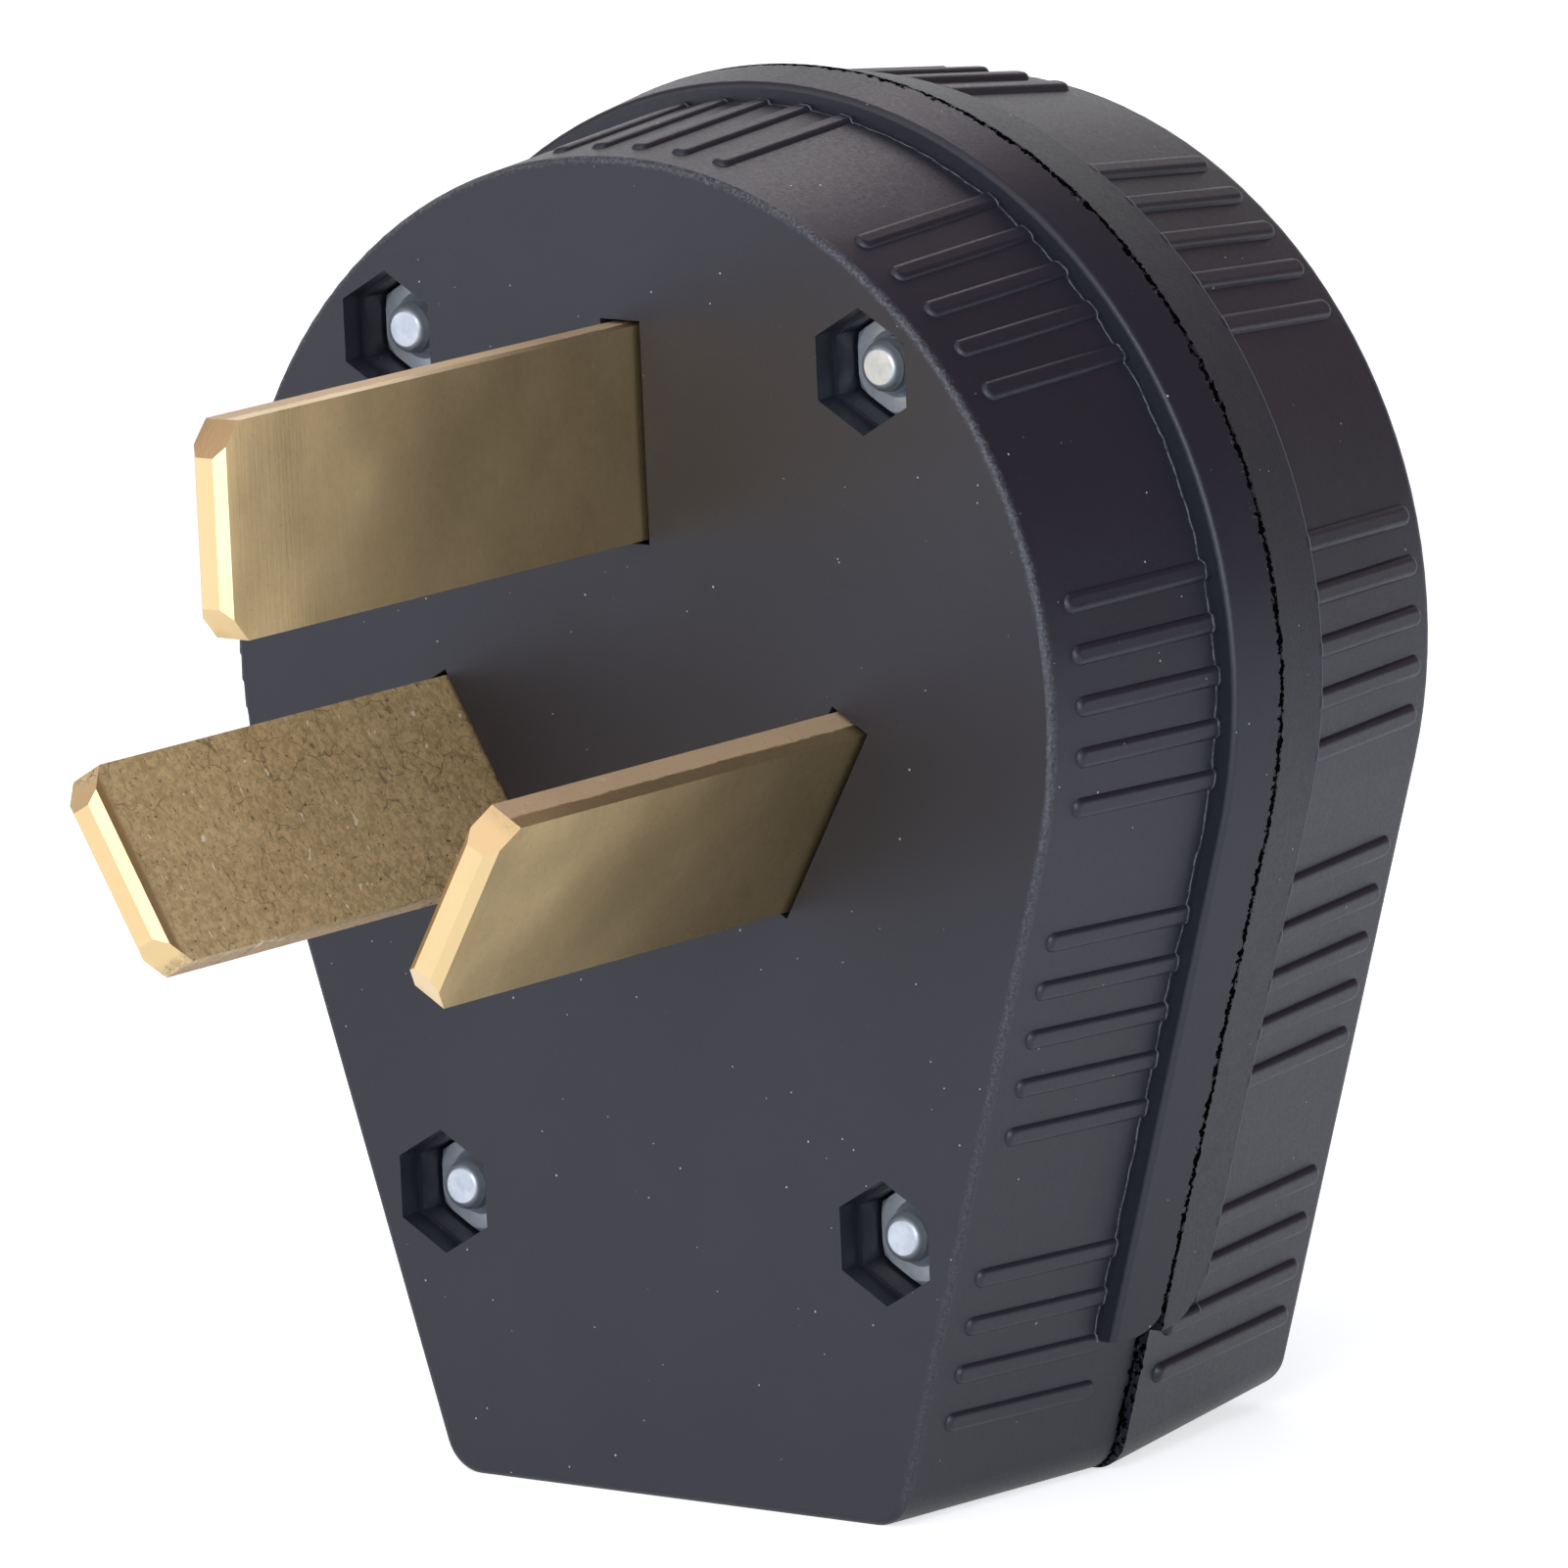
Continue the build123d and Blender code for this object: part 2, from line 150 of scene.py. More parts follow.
def makeFloor():
    bm = bmesh.new()
    bmesh.ops.create_grid(bm, x_segments=1, y_segments=1, size=studio["floorSize"] / 2)
    bmesh.ops.translate(bm, verts=bm.verts, vec=(0, 0, cadBox[0][2]))
    mesh = bpy.data.meshes.new("floor")
    bm.to_mesh(mesh)
    bm.free()
    floor = bpy.data.objects.new("floor", mesh)
    scene.collection.objects.link(floor)
    material, tree = newMaterial("studio floor, matt white paper")
    light = addNode(tree, "LightPath")
    paper = addNode(tree, "BsdfDiffuse", {}, {"Color": hexColor(studio["floorColor"])})
    glow = addNode(tree, "Emission", {}, {"Color": (1, 1, 1, 1)})
    mirrored = addNode(tree, "Math", {"operation": "MULTIPLY"}, [
        light.outputs["Is Glossy Ray"], studio["floorShine"]])
    lift = addNode(tree, "Math", {"operation": "MULTIPLY_ADD"}, [
        light.outputs["Is Camera Ray"], studio["floorLift"], mirrored])
    tree.links.new(lift.outputs[0], glow.inputs["Strength"])
    both = addNode(tree, "AddShader", {}, [paper, glow])
    addNode(tree, "OutputMaterial", {}, {"Surface": both})
    dress(floor, material)


def makeWorld():
    world = bpy.data.worlds.new("studio")
    scene.world = world
    world.use_nodes = True
    tree = world.node_tree
    tree.nodes.clear()
    light = addNode(tree, "LightPath")
    place = addNode(tree, "TexCoord")
    axes = addNode(tree, "SeparateXYZ", {}, [place.outputs["Generated"]])
    behindRight = addNode(tree, "Math", {"operation": "MULTIPLY"}, [axes.outputs["X"], axes.outputs["Y"]])
    slope = addNode(tree, "Math", {"operation": "ADD"}, [behindRight, axes.outputs["Z"]])
    rise = addNode(tree, "MapRange", {"interpolation_type": "SMOOTHSTEP"}, {
        "Value": slope, "From Min": studio["ceilingStart"], "From Max": studio["ceilingFull"]})
    mirrored = addNode(tree, "Mix", {"data_type": "RGBA"}, {
        0: rise, 6: hexColor(studio["horizonColor"]), 7: hexColor(studio["ceilingColor"])})
    fill = addNode(tree, "Background", {}, {
        "Color": hexColor(studio["fillColor"]), "Strength": studio["fillStrength"]})
    shine = addNode(tree, "Background", {}, {"Color": mirrored.outputs[2], "Strength": 1.0})
    white = addNode(tree, "Background", {}, {"Color": (1, 1, 1, 1), "Strength": 1.0})
    clear = addNode(tree, "Math", {"operation": "MAXIMUM"}, [
        light.outputs["Is Glossy Ray"], light.outputs["Is Transmission Ray"]])
    back = addNode(tree, "MixShader", {}, [clear, fill, shine])
    seen = addNode(tree, "MixShader", {}, [light.outputs["Is Camera Ray"], back, white])
    addNode(tree, "OutputWorld", {}, {"Surface": seen})


def makeLamps():
    for name, place, target, size, watts, color in studio["lamps"]:
        data = bpy.data.lights.new(name, "AREA")
        data.shape = "DISK"
        data.size = size
        data.energy = watts
        data.color = hexColor(color)[:3]
        lamp = bpy.data.objects.new(name, data)
        aim = Vector(target) - Vector(place)
        lamp.matrix_world = Matrix.Translation(place) @ aim.to_track_quat("-Z", "Y").to_matrix().to_4x4()
        scene.collection.objects.link(lamp)


makeFloor()
makeWorld()
makeLamps()
scene.view_settings.view_transform = "Standard"
print("studio lit")

# Moulded phenolic: black and faintly blue, with the fine grain of a spark-eroded mould.
# The eye finds pale rubbed edges with a painted highlight on the face's rounded edge, a wavy flash line
# before the flange, a painted highlight on the strip's rear edge, the parting crack painted black as the
# shade in the gap, and dust.
shellFinish = {
    "color": "#1a1c25",
    "lightColor": "#20222c",
    # pale flash, crumbs and rubbed spots, also the colour of the painted highlights on the edges
    "paleMarkAndHighlightColor": "#8f8f93",
    # black of the parting gap: painted shade
    "crackShadeColor": "#070608",
    "dustColor": "#d9d9dc",
    "roughness": 0.40,
    "shine": 0.5,            # specular level
    "grainSize": 0.30,       # mm, drawn coarser than the real grain so that it shows
    "grainDepth": 0.012,     # mm
    "waveSize": 2.2,         # mm, slow waves of the moulded skin
    "waveDepth": 0.02,       # mm
    "cloudSize": 9.0,        # mm, slow changes of tone
    "chipSize": 0.55,        # mm, ragged edge of the crack
    "scuffSize": 0.22,       # mm
    "crackGroove": 0.12,     # mm
    "rubbedRelief": 0.05,    # mm
    "faceRadius": 38.6,      # mm, outline of the face
    "sideLean": 17.1,        # degrees
    "flangeEnd": -51.3,      # mm, height where the flange stops
    "flashDepth": 17.75,     # mm behind the face
    "crackDepth": 22.95,     # just before the parting plane
    "partingDepth": 23.2,
    "stripDepth": 29.85,     # rear edge of the strip behind the parting plane
    "stripShine": 0.20,      # the strip is duller
    "stripFade": 0.1,        # mm
    "dustSpacing": 1.1,      # mm between specks of dust
    "dustRadius": 0.09,      # mm
}


def mouldedShell():
    look = shellFinish
    material, tree = newMaterial("moulded black phenolic")
    coords = addNode(tree, "TexCoord")
    place = addNode(tree, "VectorMath", {"operation": "SCALE"}, {
        0: coords.outputs["Object"], "Scale": 1 / mm})
    axes = addNode(tree, "SeparateXYZ", {}, [place])
    x, depth, height = axes.outputs

    # reach: distance from the middle to the wall, round above and straight along the sides
    lean = math.radians(look["sideLean"])
    across = addNode(tree, "Math", {"operation": "ABSOLUTE"}, [x])
    flat = addNode(tree, "CombineXYZ", {}, [x, 0.0, height])
    roundReach = addNode(tree, "VectorMath", {"operation": "LENGTH"}, [flat])
    sideOut = addNode(tree, "Math", {"operation": "MULTIPLY"}, [across, math.cos(lean)])
    sideReach = addNode(tree, "Math", {"operation": "MULTIPLY_ADD"}, [height, -math.sin(lean), sideOut])
    sideUp = addNode(tree, "Math", {"operation": "MULTIPLY"}, [across, math.sin(lean)])
    along = addNode(tree, "Math", {"operation": "MULTIPLY_ADD"}, [height, math.cos(lean), sideUp])
    isRound = addNode(tree, "Math", {"operation": "GREATER_THAN"}, [along, 0.0])
    reach = addNode(tree, "Mix", {"data_type": "FLOAT"}, {
        0: isRound, 2: sideReach, 3: roundReach.outputs["Value"]})

    # patterns
    grain = addNode(tree, "TexNoise", {}, {
        "Vector": place, "Scale": 1 / look["grainSize"], "Detail": 3.0, "Roughness": 0.6})
    wave = addNode(tree, "TexNoise", {}, {
        "Vector": place, "Scale": 1 / look["waveSize"], "Detail": 2.0, "Roughness": 0.5})
    cloud = addNode(tree, "TexNoise", {}, {
        "Vector": place, "Scale": 1 / look["cloudSize"], "Detail": 3.0, "Roughness": 0.55})
    chips = addNode(tree, "TexNoise", {}, {
        "Vector": place, "Scale": 1 / look["chipSize"], "Detail": 3.0, "Roughness": 0.65})
    speckle = addNode(tree, "MapRange", {"interpolation_type": "SMOOTHSTEP"}, {
        "Value": chips.outputs["Fac"], "From Min": 0.40, "From Max": 0.58})
    wobble = addNode(tree, "Math", {"operation": "MULTIPLY_ADD"}, [wave.outputs["Fac"], 0.8, -0.4])
    wavyDepth = addNode(tree, "Math", {"operation": "ADD"}, [depth, wobble])

    # pale lines that run round the body at one depth and stop where the flange ends: the moulding flash
    # before the flange, and a painted highlight along the rear edge of the strip
    onFlange = addNode(tree, "Math", {"operation": "GREATER_THAN"}, [height, look["flangeEnd"]])
    lines = {}
    for name, source, middle, half, soft in (
            ("flash", wavyDepth, look["flashDepth"], 0.03, 0.10),
            ("strip", depth, look["stripDepth"], 0.03, 0.09)):
        offset = addNode(tree, "Math", {"operation": "SUBTRACT"}, [source, middle])
        away = addNode(tree, "Math", {"operation": "ABSOLUTE"}, [offset])
        line = addNode(tree, "MapRange", {"interpolation_type": "SMOOTHSTEP"}, {
            "Value": away, "From Min": half, "From Max": half + soft, "To Min": 1.0, "To Max": 0.0})
        lines[name] = addNode(tree, "Math", {"operation": "MULTIPLY"}, [line, onFlange])
    # the parting gap between the shells: a groove in the relief, painted black as the shade inside it
    crackWave = addNode(tree, "Math", {"operation": "MULTIPLY_ADD"}, [wobble, 0.45, depth])
    crackOffset = addNode(tree, "Math", {"operation": "SUBTRACT"}, [crackWave, look["crackDepth"]])
    crackAway = addNode(tree, "Math", {"operation": "ABSOLUTE"}, [crackOffset])
    crackWidth = addNode(tree, "MapRange", {}, {
        "Value": chips.outputs["Fac"], "From Min": 0.40, "From Max": 0.68, "To Min": 0.04, "To Max": 0.46})
    crackEdge = addNode(tree, "Math", {"operation": "SUBTRACT"}, [crackAway, crackWidth])
    crackGrooveAndShade = addNode(tree, "MapRange", {"interpolation_type": "SMOOTHSTEP"}, {
        "Value": crackEdge, "From Min": -0.03, "From Max": 0.05, "To Min": 1.0, "To Max": 0.0})

    # pale crumbs beside the crack, and the strip behind it, which is duller
    crumbBand = addNode(tree, "MapRange", {"interpolation_type": "SMOOTHSTEP"}, {
        "Value": crackEdge, "From Min": 0.05, "From Max": 0.35, "To Min": 1.0, "To Max": 0.0})
    crumbSpots = addNode(tree, "MapRange", {"interpolation_type": "SMOOTHSTEP"}, {
        "Value": grain.outputs["Fac"], "From Min": 0.60, "From Max": 0.68, "To Max": 0.45})
    crumbs = addNode(tree, "Math", {"operation": "MULTIPLY"}, [crumbBand, crumbSpots])
    fade = look["stripFade"]
    stripStart = addNode(tree, "MapRange", {}, {
        "Value": depth, "From Min": look["partingDepth"] - fade, "From Max": look["partingDepth"] + fade})
    stripEnd = addNode(tree, "MapRange", {}, {
        "Value": depth, "From Min": look["stripDepth"] - fade, "From Max": look["stripDepth"] + fade,
        "To Min": 1.0, "To Max": 0.0})
    band = addNode(tree, "Math", {"operation": "MULTIPLY"}, [stripStart, stripEnd])
    strip = addNode(tree, "Math", {"operation": "MULTIPLY"}, [band, onFlange])
    stripShine = addNode(tree, "MapRange", {}, {
        "Value": strip, "To Min": look["shine"], "To Max": look["stripShine"]})
    # no reflection inside the gap, part of its painted shade
    outsideCrackShade = addNode(tree, "Math", {"operation": "SUBTRACT"}, [1.0, crackGrooveAndShade])
    shine = addNode(tree, "Math", {"operation": "MULTIPLY"}, [stripShine, outsideCrackShade])

    # trimmed edge of the face, rubbed pale in spots, and a painted highlight where its rounding catches the
    # light
    edgeDepth = addNode(tree, "Math", {"operation": "MULTIPLY_ADD"}, [chips.outputs["Fac"], -0.9, depth])
    nearFace = addNode(tree, "MapRange", {"interpolation_type": "SMOOTHSTEP"}, {
        "Value": edgeDepth, "From Min": -0.25, "From Max": 0.35, "To Min": 1.0, "To Max": 0.0})
    edgeReach = addNode(tree, "Math", {"operation": "MULTIPLY_ADD"}, [chips.outputs["Fac"], 0.7, reach])
    nearEdge = addNode(tree, "MapRange", {"interpolation_type": "SMOOTHSTEP"}, {
        "Value": edgeReach, "From Min": look["faceRadius"] - 0.25, "From Max": look["faceRadius"] + 0.15})
    faceEdge = addNode(tree, "Math", {"operation": "MULTIPLY"}, [nearFace, nearEdge])
    scuff = addNode(tree, "TexNoise", {}, {
        "Vector": place, "Scale": 1 / look["scuffSize"], "Detail": 3.0, "Roughness": 0.7})
    scuffed = addNode(tree, "MapRange", {"interpolation_type": "SMOOTHSTEP"}, {
        "Value": scuff.outputs["Fac"], "From Min": 0.40, "From Max": 0.66, "To Min": 0.15})
    rubbedAndHighlitEdge = addNode(tree, "Math", {"operation": "MULTIPLY"}, [faceEdge, scuffed])
    # the painted highlight on the face edge grows stronger towards the top
    edgeHighlightRise = addNode(tree, "MapRange", {}, {
        "Value": height, "From Min": -45.0, "From Max": 30.0, "To Min": 0.16, "To Max": 0.42})

    flashTone = addNode(tree, "Math", {"operation": "MULTIPLY_ADD"}, [speckle, 0.4, 0.22])
    flashPart = addNode(tree, "Math", {"operation": "MULTIPLY"}, [lines["flash"], flashTone])
    # painted highlight along the strip's rear edge, where its small lip would catch the light
    stripHighlight = addNode(tree, "Math", {"operation": "MULTIPLY"}, [lines["strip"], 0.5])
    edgePart = addNode(tree, "Math", {"operation": "MULTIPLY"}, [rubbedAndHighlitEdge, edgeHighlightRise])
    twoLines = addNode(tree, "Math", {"operation": "MAXIMUM"}, [flashPart, stripHighlight])
    threeLines = addNode(tree, "Math", {"operation": "MAXIMUM"}, [twoLines, crumbs])
    paleMarksAndHighlights = addNode(tree, "Math", {"operation": "MAXIMUM"}, [threeLines, edgePart])

    # dust: one speck in some cells of a Voronoi pattern
    cells = addNode(tree, "TexVoronoi", {"feature": "F1"}, {
        "Vector": place, "Scale": 1 / look["dustSpacing"], "Randomness": 1.0})
    cellValue = addNode(tree, "SeparateXYZ", {}, [cells.outputs["Color"]])
    speckSize = addNode(tree, "Math", {"operation": "MULTIPLY"}, [
        cellValue.outputs[0], look["dustRadius"] / look["dustSpacing"]])
    speckEdge = addNode(tree, "Math", {"operation": "SUBTRACT"}, [cells.outputs["Distance"], speckSize])
    speck = addNode(tree, "MapRange", {"interpolation_type": "SMOOTHSTEP"}, {
        "Value": speckEdge, "From Min": -0.008, "From Max": 0.008, "To Min": 1.0, "To Max": 0.0})
    some = addNode(tree, "Math", {"operation": "GREATER_THAN"}, [cellValue.outputs[1], 0.72])
    dust = addNode(tree, "Math", {"operation": "MULTIPLY"}, [speck, some])
    dustPart = addNode(tree, "Math", {"operation": "MULTIPLY"}, [dust, 0.6])

    # colour, gloss and relief
    tone = addNode(tree, "Mix", {"data_type": "RGBA"}, {
        0: cloud.outputs["Fac"], 6: hexColor(look["color"]), 7: hexColor(look["lightColor"])})
    # mixes in the pale marks and the painted highlights on the face edge and the strip's rear edge
    worn = addNode(tree, "Mix", {"data_type": "RGBA"}, {
        0: paleMarksAndHighlights, 6: tone.outputs[2], 7: hexColor(look["paleMarkAndHighlightColor"])})
    dusty = addNode(tree, "Mix", {"data_type": "RGBA"}, {
        0: dustPart, 6: worn.outputs[2], 7: hexColor(look["dustColor"])})
    # the parting gap painted black as its shade
    crackShaded = addNode(tree, "Mix", {"data_type": "RGBA"}, {
        0: crackGrooveAndShade, 6: dusty.outputs[2], 7: hexColor(look["crackShadeColor"])})
    gloss = addNode(tree, "MapRange", {}, {
        "Value": grain.outputs["Fac"], "From Min": 0.3, "From Max": 0.7,
        "To Min": look["roughness"] - 0.05, "To Max": look["roughness"] + 0.07})
    roughness = addNode(tree, "Mix", {"data_type": "FLOAT"}, {0: paleMarksAndHighlights, 2: gloss, 3: 0.75})
    waves = addNode(tree, "Bump", {}, {
        "Height": wave.outputs["Fac"], "Distance": look["waveDepth"] * mm, "Strength": 1.0})
    grains = addNode(tree, "Bump", {}, {
        "Height": grain.outputs["Fac"], "Distance": look["grainDepth"] * mm, "Strength": 1.0,
        "Normal": waves})
    groove = addNode(tree, "Bump", {"invert": True}, {
        "Height": crackGrooveAndShade, "Distance": look["crackGroove"] * mm, "Strength": 1.0, "Normal": grains})
    chipped = addNode(tree, "Bump", {}, {
        "Height": paleMarksAndHighlights, "Distance": look["rubbedRelief"] * mm, "Strength": 1.0, "Normal": groove})
    shader = addNode(tree, "BsdfPrincipled", {}, {
        "Base Color": crackShaded.outputs[2], "Roughness": roughness, "IOR": 1.5, "Normal": chipped,
        "Specular IOR Level": shine})
    addNode(tree, "OutputMaterial", {}, {"Surface": shader})
    return material


# Rolled brass strip, sheared to width: a satin face, lines across it from dressing, pits and scratches,
# painted glints, brown tarnish in patches with a painted darkening towards the root, and edges with one
# burnished and one torn band
brassFinish = {
    "color": "#ecd09a",
    # tarnish, also the colour of the painted darkening towards the root
    "tarnishAndShadeColor": "#987e50",
    "tornColor": "#d8ba92",
    "pitColor": "#33270f",
    # colour of the painted glints
    "glintColor": "#fff3d6",
    "halfWidth": 8.0,        # mm
    "bladeCircle": 18.2,     # mm
    "lineSpacing": 0.22,     # mm between dressing lines, drawn coarser than the real ones
    "lineDepth": 0.012,      # mm
    "pitSize": 0.5,          # mm
    "pitDepth": 0.02,        # mm
    "cloudSize": 6.0,        # mm, patches of tarnish
    "blotchSize": 0.6,       # mm, fine staining
    "warpSize": 3.0,         # mm, bends of the scratches
    "warpReach": 4.0,        # mm
    "hairSpacing": 3.2,      # mm between scratches
    "glintSpacing": 0.85,     # mm between glints
    "swaySize": 14.0,        # mm, slow waves left by rolling
    "swayDepth": 0.6,        # mm
    "tornDepth": 0.03,       # mm
}
# angle of the blade on its circle, turn of its width, depth of its tip, then its share of each mark
bladeLooks = {
    "top_blade": {"angle": 90, "turn": 0, "tip": -47.6, "lines": 0.8, "pits": 0.12, "tarnishAndRootShade": 0.25,
                  "metal": 0.93, "roughness": 0.30},
    "left_blade": {"angle": 210, "turn": -30, "tip": -41.7, "lines": 0.2, "pits": 1.0, "tarnishAndRootShade": 0.15,
                   "metal": 0.42, "roughness": 0.46},
    "right_blade": {"angle": 330, "turn": 30, "tip": -41.7, "lines": 0.25, "pits": 0.2, "tarnishAndRootShade": 0.32,
                    "metal": 0.93, "roughness": 0.30},
}


def rolledBrass(name, bladeLook):
    look = brassFinish
    material, tree = newMaterial("rolled brass strip, " + name.replace("_", " "))
    coords = addNode(tree, "TexCoord")
    place = addNode(tree, "VectorMath", {"operation": "SCALE"}, {
        0: coords.outputs["Object"], "Scale": 1 / mm})
    angle = math.radians(bladeLook["angle"])
    middle = (look["bladeCircle"] * math.cos(angle), 0.0, look["bladeCircle"] * math.sin(angle))
    turn = math.radians(bladeLook["turn"])
    # texture mapping: the blade's middle goes to the origin and its width turns upright
    local = addNode(tree, "Mapping", {"vector_type": "TEXTURE"}, {
        "Vector": place, "Location": middle, "Rotation": (0.0, turn, 0.0)})
    axes = addNode(tree, "SeparateXYZ", {}, [local])
    across, depth, width = axes.outputs

    # dressing lines run along the width, strongest near the tip
    stretched = addNode(tree, "VectorMath", {"operation": "MULTIPLY"}, [local, (1.0, 1.0, 0.03)])
    lines = addNode(tree, "TexNoise", {}, {
        "Vector": stretched, "Scale": 1 / look["lineSpacing"], "Detail": 2.0, "Roughness": 0.6})
    tip = addNode(tree, "MapRange", {"interpolation_type": "SMOOTHSTEP"}, {
        "Value": depth, "From Min": bladeLook["tip"] + 2, "From Max": bladeLook["tip"] + 18,
        "To Min": 1.0, "To Max": 0.35})
    lineDepth = addNode(tree, "Math", {"operation": "MULTIPLY"}, [tip, lines.outputs["Fac"]])

    cloud = addNode(tree, "TexNoise", {}, {
        "Vector": local, "Scale": 1 / look["cloudSize"], "Detail": 5.0, "Roughness": 0.65})
    blotch = addNode(tree, "TexNoise", {}, {
        "Vector": local, "Scale": 1 / look["blotchSize"], "Detail": 5.0, "Roughness": 0.72,
        "Distortion": 0.4})
    pitNoise = addNode(tree, "TexNoise", {}, {
        "Vector": local, "Scale": 1 / look["pitSize"], "Detail": 4.0, "Roughness": 0.75})
    # the bevelled tip is wiped bright in use: no pits and no tarnish there
    worn = addNode(tree, "MapRange", {"interpolation_type": "SMOOTHSTEP"}, {
        "Value": depth, "From Min": bladeLook["tip"] + 1.2, "From Max": bladeLook["tip"] + 2.0})
    deepPits = addNode(tree, "MapRange", {"interpolation_type": "SMOOTHSTEP"}, {
        "Value": pitNoise.outputs["Fac"], "From Min": 0.57, "From Max": 0.68,
        "To Max": bladeLook["pits"]})
    pits = addNode(tree, "Math", {"operation": "MULTIPLY"}, [deepPits, worn])
    # scratches: thin dark hairs between warped cells
    warp = addNode(tree, "TexNoise", {}, {"Vector": local, "Scale": 1 / look["warpSize"], "Detail": 2.0})
    warped = addNode(tree, "VectorMath", {"operation": "MULTIPLY_ADD"}, [
        warp.outputs["Color"], (look["warpReach"],) * 3, local])
    hairs = addNode(tree, "TexVoronoi", {"feature": "DISTANCE_TO_EDGE"}, {
        "Vector": warped, "Scale": 1 / look["hairSpacing"]})
    hair = addNode(tree, "MapRange", {}, {
        "Value": hairs.outputs["Distance"], "From Min": 0.006, "From Max": 0.022,
        "To Min": 1.0, "To Max": 0.0})
    hairSome = addNode(tree, "MapRange", {}, {
        "Value": cloud.outputs["Fac"], "From Min": 0.47, "From Max": 0.56,
        "To Max": bladeLook["pits"] * 0.55})
    hairWorn = addNode(tree, "Math", {"operation": "MULTIPLY"}, [hairSome, worn])
    scratch = addNode(tree, "Math", {"operation": "MULTIPLY"}, [hair, hairWorn])
    # painted glints: short bright specks in the colour, where nicks would catch the light
    glintPlace = addNode(tree, "VectorMath", {"operation": "MULTIPLY"}, [warped, (1.0, 1.0, 0.55)])
    glintCells = addNode(tree, "TexVoronoi", {"feature": "F1"}, {
        "Vector": glintPlace, "Scale": 1 / look["glintSpacing"]})
    glintCell = addNode(tree, "SeparateXYZ", {}, [glintCells.outputs["Color"]])
    glintSize = addNode(tree, "Math", {"operation": "MULTIPLY"}, [glintCell.outputs[0], 0.20])
    glintEdge = addNode(tree, "Math", {"operation": "SUBTRACT"}, [glintCells.outputs["Distance"], glintSize])
    glintSpot = addNode(tree, "MapRange", {}, {
        "Value": glintEdge, "From Min": -0.02, "From Max": 0.02, "To Min": 1.0, "To Max": 0.0})
    glintSome = addNode(tree, "MapRange", {}, {
        "Value": glintCell.outputs[1], "From Min": 0.45, "From Max": 0.47, "To Max": bladeLook["pits"]})
    glintAwayFromTip = addNode(tree, "Math", {"operation": "MULTIPLY"}, [glintSome, worn])
    glint = addNode(tree, "Math", {"operation": "MULTIPLY"}, [glintSpot, glintAwayFromTip])

    # edges of the strip: one burnished band and one torn band
    fromMiddle = addNode(tree, "Math", {"operation": "ABSOLUTE"}, [width])
    isEdge = addNode(tree, "MapRange", {}, {
        "Value": fromMiddle, "From Min": look["halfWidth"] - 0.06, "From Max": look["halfWidth"] - 0.02})
    tear = addNode(tree, "Math", {"operation": "MULTIPLY_ADD"}, [blotch.outputs["Fac"], -0.9, across])
    tornSide = addNode(tree, "MapRange", {"interpolation_type": "SMOOTHSTEP"}, {
        "Value": tear, "From Min": -0.25, "From Max": -0.10, "To Min": 1.0, "To Max": 0.0})
    torn = addNode(tree, "Math", {"operation": "MULTIPLY"}, [isEdge, tornSide])

    # tarnish in patches, and a painted darkening towards the root that stands in for the dark face the blade
    # reflects there
    # painted shade: darker towards the root, for the dark face reflected there
    rootShade = addNode(tree, "MapRange", {}, {
        "Value": depth, "From Min": bladeLook["tip"] + 3, "From Max": 0.0,
        "To Min": 0.0, "To Max": 0.5})
    patch = addNode(tree, "MapRange", {"interpolation_type": "SMOOTHSTEP"}, {
        "Value": cloud.outputs["Fac"], "From Min": 0.35, "From Max": 0.68})
    patchesAndRootShade = addNode(tree, "Math", {"operation": "MULTIPLY_ADD"}, [patch, 0.6, rootShade])
    tarnishAndRootShade = addNode(tree, "Math", {"operation": "MULTIPLY", "use_clamp": True}, [
        patchesAndRootShade, bladeLook["tarnishAndRootShade"]])
    fine = addNode(tree, "MapRange", {}, {
        "Value": blotch.outputs["Fac"], "From Min": 0.40, "From Max": 0.60,
        "To Max": bladeLook["pits"] * 0.5})
    stainAndShade = addNode(tree, "Math", {"operation": "ADD", "use_clamp": True}, [tarnishAndRootShade, fine])
    stainedAndShaded = addNode(tree, "Math", {"operation": "MULTIPLY"}, [stainAndShade, worn])

    fresh = addNode(tree, "Mix", {"data_type": "RGBA"}, {
        0: stainedAndShaded, 6: hexColor(look["color"]), 7: hexColor(look["tarnishAndShadeColor"])})
    tornColor = addNode(tree, "Mix", {"data_type": "RGBA"}, {
        0: torn, 6: fresh.outputs[2], 7: hexColor(look["tornColor"])})
    marks = addNode(tree, "Math", {"operation": "MAXIMUM"}, [pits, scratch])
    marked = addNode(tree, "Mix", {"data_type": "RGBA"}, {
        0: marks, 6: tornColor.outputs[2], 7: hexColor(look["pitColor"])})
    glinting = addNode(tree, "Mix", {"data_type": "RGBA"}, {
        0: glint, 6: marked.outputs[2], 7: hexColor(look["glintColor"])})
    gloss = addNode(tree, "Math", {"operation": "MULTIPLY_ADD"}, [stainedAndShaded, 0.16, bladeLook["roughness"]])
    rougher = addNode(tree, "Math", {"operation": "MULTIPLY_ADD"}, [torn, 0.22, gloss])
    roughness = addNode(tree, "Math", {"operation": "MULTIPLY_ADD", "use_clamp": True}, [
        marks, 0.3, rougher])
    bare = addNode(tree, "MapRange", {}, {"Value": worn, "To Min": 1.0, "To Max": bladeLook["metal"]})
    metal = addNode(tree, "Math", {"operation": "MULTIPLY_ADD"}, [torn, -0.45, bare])
    sway = addNode(tree, "TexNoise", {}, {"Vector": local, "Scale": 1 / look["swaySize"], "Detail": 1.0})
